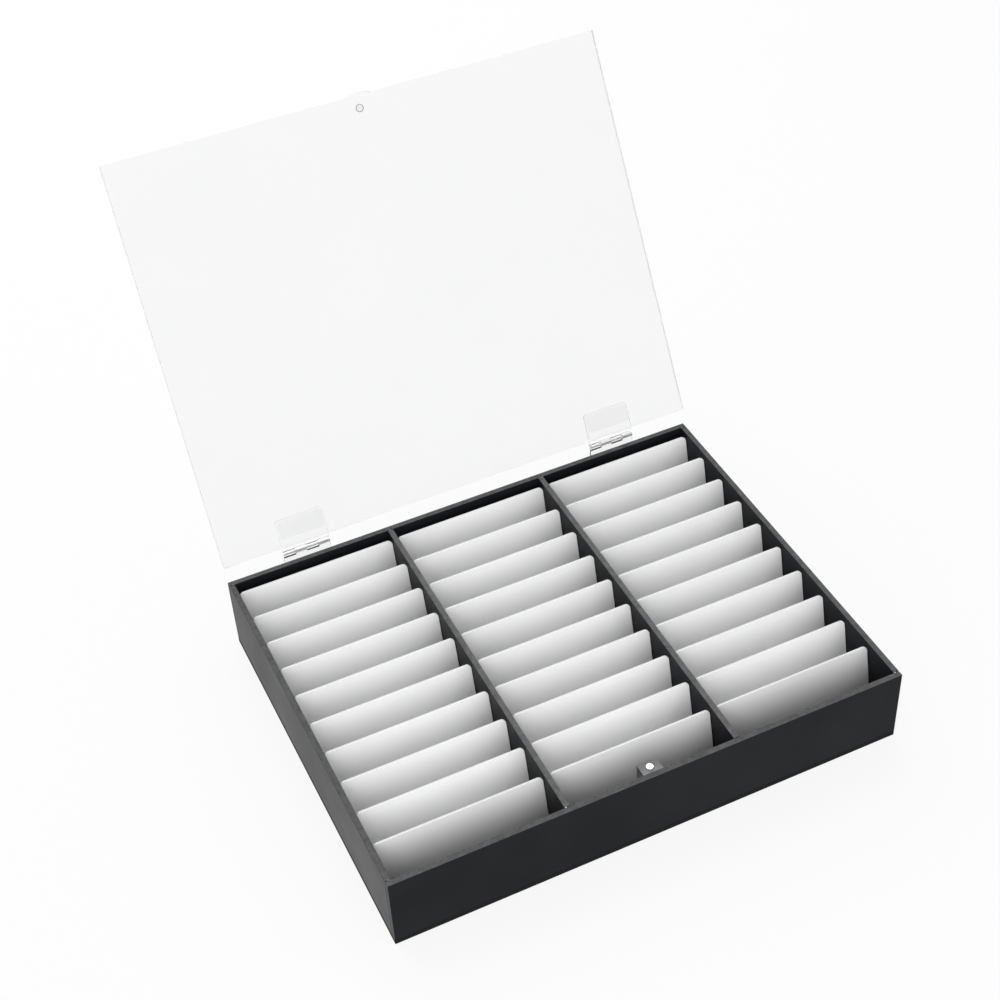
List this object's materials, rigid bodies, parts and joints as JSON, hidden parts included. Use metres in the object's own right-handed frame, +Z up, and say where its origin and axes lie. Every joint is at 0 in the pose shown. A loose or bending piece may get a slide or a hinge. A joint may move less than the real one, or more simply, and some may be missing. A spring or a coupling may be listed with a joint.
{
  "type": "nail art storage box",
  "caption": "Flat black storage box with three columns of slanted white display cards, under a clear lid with hinges and a magnetic catch.",
  "frame": {"origin": "middle of the base plate's underside, where the box rests", "axes": "+X across to the right as seen from the front, +Y to the back where the hinges are, +Z up"},
  "size_m": [0.27, 0.3226, 0.2387],
  "materials": {
    "black_sheet": "satin",
    "white_card": "matte",
    "clear_sheet": "clear gloss",
    "hinge_plastic": "clear gloss",
    "hinge_pin": "satin",
    "magnet": "nickel plated"
  },
  "bodies": {
    "box": {"base_plate": "black_sheet", "front_wall": "black_sheet", "back_wall": "black_sheet", "left_wall": "black_sheet", "right_wall": "black_sheet", "left_divider": "black_sheet", "right_divider": "black_sheet", "left_floor": "black_sheet", "middle_floor": "black_sheet", "right_floor": "black_sheet", "magnet_block": "clear_sheet", "box_magnet": "magnet", "left_hinge_box_leaf": "hinge_plastic", "right_hinge_box_leaf": "hinge_plastic", "left_hinge_pin": "hinge_pin", "right_hinge_pin": "hinge_pin"},
    "lid": {"lid": "clear_sheet", "lid_magnet": "magnet", "left_hinge_lid_leaf": "hinge_plastic", "right_hinge_lid_leaf": "hinge_plastic"},
    "card_left_01": {"card_left_01": "white_card"},
    "card_left_02": {"card_left_02": "white_card"},
    "card_left_03": {"card_left_03": "white_card"},
    "card_left_04": {"card_left_04": "white_card"},
    "card_left_05": {"card_left_05": "white_card"},
    "card_left_06": {"card_left_06": "white_card"},
    "card_left_07": {"card_left_07": "white_card"},
    "card_left_08": {"card_left_08": "white_card"},
    "card_left_09": {"card_left_09": "white_card"},
    "card_left_10": {"card_left_10": "white_card"},
    "card_middle_01": {"card_middle_01": "white_card"},
    "card_middle_02": {"card_middle_02": "white_card"},
    "card_middle_03": {"card_middle_03": "white_card"},
    "card_middle_04": {"card_middle_04": "white_card"},
    "card_middle_05": {"card_middle_05": "white_card"},
    "card_middle_06": {"card_middle_06": "white_card"},
    "card_middle_07": {"card_middle_07": "white_card"},
    "card_middle_08": {"card_middle_08": "white_card"},
    "card_middle_09": {"card_middle_09": "white_card"},
    "card_middle_10": {"card_middle_10": "white_card"},
    "card_right_01": {"card_right_01": "white_card"},
    "card_right_02": {"card_right_02": "white_card"},
    "card_right_03": {"card_right_03": "white_card"},
    "card_right_04": {"card_right_04": "white_card"},
    "card_right_05": {"card_right_05": "white_card"},
    "card_right_06": {"card_right_06": "white_card"},
    "card_right_07": {"card_right_07": "white_card"},
    "card_right_08": {"card_right_08": "white_card"},
    "card_right_09": {"card_right_09": "white_card"},
    "card_right_10": {"card_right_10": "white_card"}
  },
  "joints": [
    {"name": "lid_hinge", "type": "hinge", "parent": "box", "child": "lid", "pos_m": [0, 0.1084, 0.0487], "axis": [-1, 0, 0], "range_deg": [-120, 0]},
    {"name": "card_left_01_lift", "type": "slide", "parent": "box", "child": "card_left_01", "axis": [0, 0.225, 0.9744], "range_m": [0, 0.038]},
    {"name": "card_left_02_lift", "type": "slide", "parent": "box", "child": "card_left_02", "axis": [0, 0.225, 0.9744], "range_m": [0, 0.038]},
    {"name": "card_left_03_lift", "type": "slide", "parent": "box", "child": "card_left_03", "axis": [0, 0.225, 0.9744], "range_m": [0, 0.038]},
    {"name": "card_left_04_lift", "type": "slide", "parent": "box", "child": "card_left_04", "axis": [0, 0.225, 0.9744], "range_m": [0, 0.038]},
    {"name": "card_left_05_lift", "type": "slide", "parent": "box", "child": "card_left_05", "axis": [0, 0.225, 0.9744], "range_m": [0, 0.038]},
    {"name": "card_left_06_lift", "type": "slide", "parent": "box", "child": "card_left_06", "axis": [0, 0.225, 0.9744], "range_m": [0, 0.038]},
    {"name": "card_left_07_lift", "type": "slide", "parent": "box", "child": "card_left_07", "axis": [0, 0.225, 0.9744], "range_m": [0, 0.038]},
    {"name": "card_left_08_lift", "type": "slide", "parent": "box", "child": "card_left_08", "axis": [0, 0.225, 0.9744], "range_m": [0, 0.038]},
    {"name": "card_left_09_lift", "type": "slide", "parent": "box", "child": "card_left_09", "axis": [0, 0.225, 0.9744], "range_m": [0, 0.038]},
    {"name": "card_left_10_lift", "type": "slide", "parent": "box", "child": "card_left_10", "axis": [0, 0.225, 0.9744], "range_m": [0, 0.038]},
    {"name": "card_middle_01_lift", "type": "slide", "parent": "box", "child": "card_middle_01", "axis": [0, 0.225, 0.9744], "range_m": [0, 0.038]},
    {"name": "card_middle_02_lift", "type": "slide", "parent": "box", "child": "card_middle_02", "axis": [0, 0.225, 0.9744], "range_m": [0, 0.038]},
    {"name": "card_middle_03_lift", "type": "slide", "parent": "box", "child": "card_middle_03", "axis": [0, 0.225, 0.9744], "range_m": [0, 0.038]},
    {"name": "card_middle_04_lift", "type": "slide", "parent": "box", "child": "card_middle_04", "axis": [0, 0.225, 0.9744], "range_m": [0, 0.038]},
    {"name": "card_middle_05_lift", "type": "slide", "parent": "box", "child": "card_middle_05", "axis": [0, 0.225, 0.9744], "range_m": [0, 0.038]},
    {"name": "card_middle_06_lift", "type": "slide", "parent": "box", "child": "card_middle_06", "axis": [0, 0.225, 0.9744], "range_m": [0, 0.038]},
    {"name": "card_middle_07_lift", "type": "slide", "parent": "box", "child": "card_middle_07", "axis": [0, 0.225, 0.9744], "range_m": [0, 0.038]},
    {"name": "card_middle_08_lift", "type": "slide", "parent": "box", "child": "card_middle_08", "axis": [0, 0.225, 0.9744], "range_m": [0, 0.038]},
    {"name": "card_middle_09_lift", "type": "slide", "parent": "box", "child": "card_middle_09", "axis": [0, 0.225, 0.9744], "range_m": [0, 0.038]},
    {"name": "card_middle_10_lift", "type": "slide", "parent": "box", "child": "card_middle_10", "axis": [0, 0.225, 0.9744], "range_m": [0, 0.038]},
    {"name": "card_right_01_lift", "type": "slide", "parent": "box", "child": "card_right_01", "axis": [0, 0.225, 0.9744], "range_m": [0, 0.038]},
    {"name": "card_right_02_lift", "type": "slide", "parent": "box", "child": "card_right_02", "axis": [0, 0.225, 0.9744], "range_m": [0, 0.038]},
    {"name": "card_right_03_lift", "type": "slide", "parent": "box", "child": "card_right_03", "axis": [0, 0.225, 0.9744], "range_m": [0, 0.038]},
    {"name": "card_right_04_lift", "type": "slide", "parent": "box", "child": "card_right_04", "axis": [0, 0.225, 0.9744], "range_m": [0, 0.038]},
    {"name": "card_right_05_lift", "type": "slide", "parent": "box", "child": "card_right_05", "axis": [0, 0.225, 0.9744], "range_m": [0, 0.038]},
    {"name": "card_right_06_lift", "type": "slide", "parent": "box", "child": "card_right_06", "axis": [0, 0.225, 0.9744], "range_m": [0, 0.038]},
    {"name": "card_right_07_lift", "type": "slide", "parent": "box", "child": "card_right_07", "axis": [0, 0.225, 0.9744], "range_m": [0, 0.038]},
    {"name": "card_right_08_lift", "type": "slide", "parent": "box", "child": "card_right_08", "axis": [0, 0.225, 0.9744], "range_m": [0, 0.038]},
    {"name": "card_right_09_lift", "type": "slide", "parent": "box", "child": "card_right_09", "axis": [0, 0.225, 0.9744], "range_m": [0, 0.038]},
    {"name": "card_right_10_lift", "type": "slide", "parent": "box", "child": "card_right_10", "axis": [0, 0.225, 0.9744], "range_m": [0, 0.038]}
  ]
}
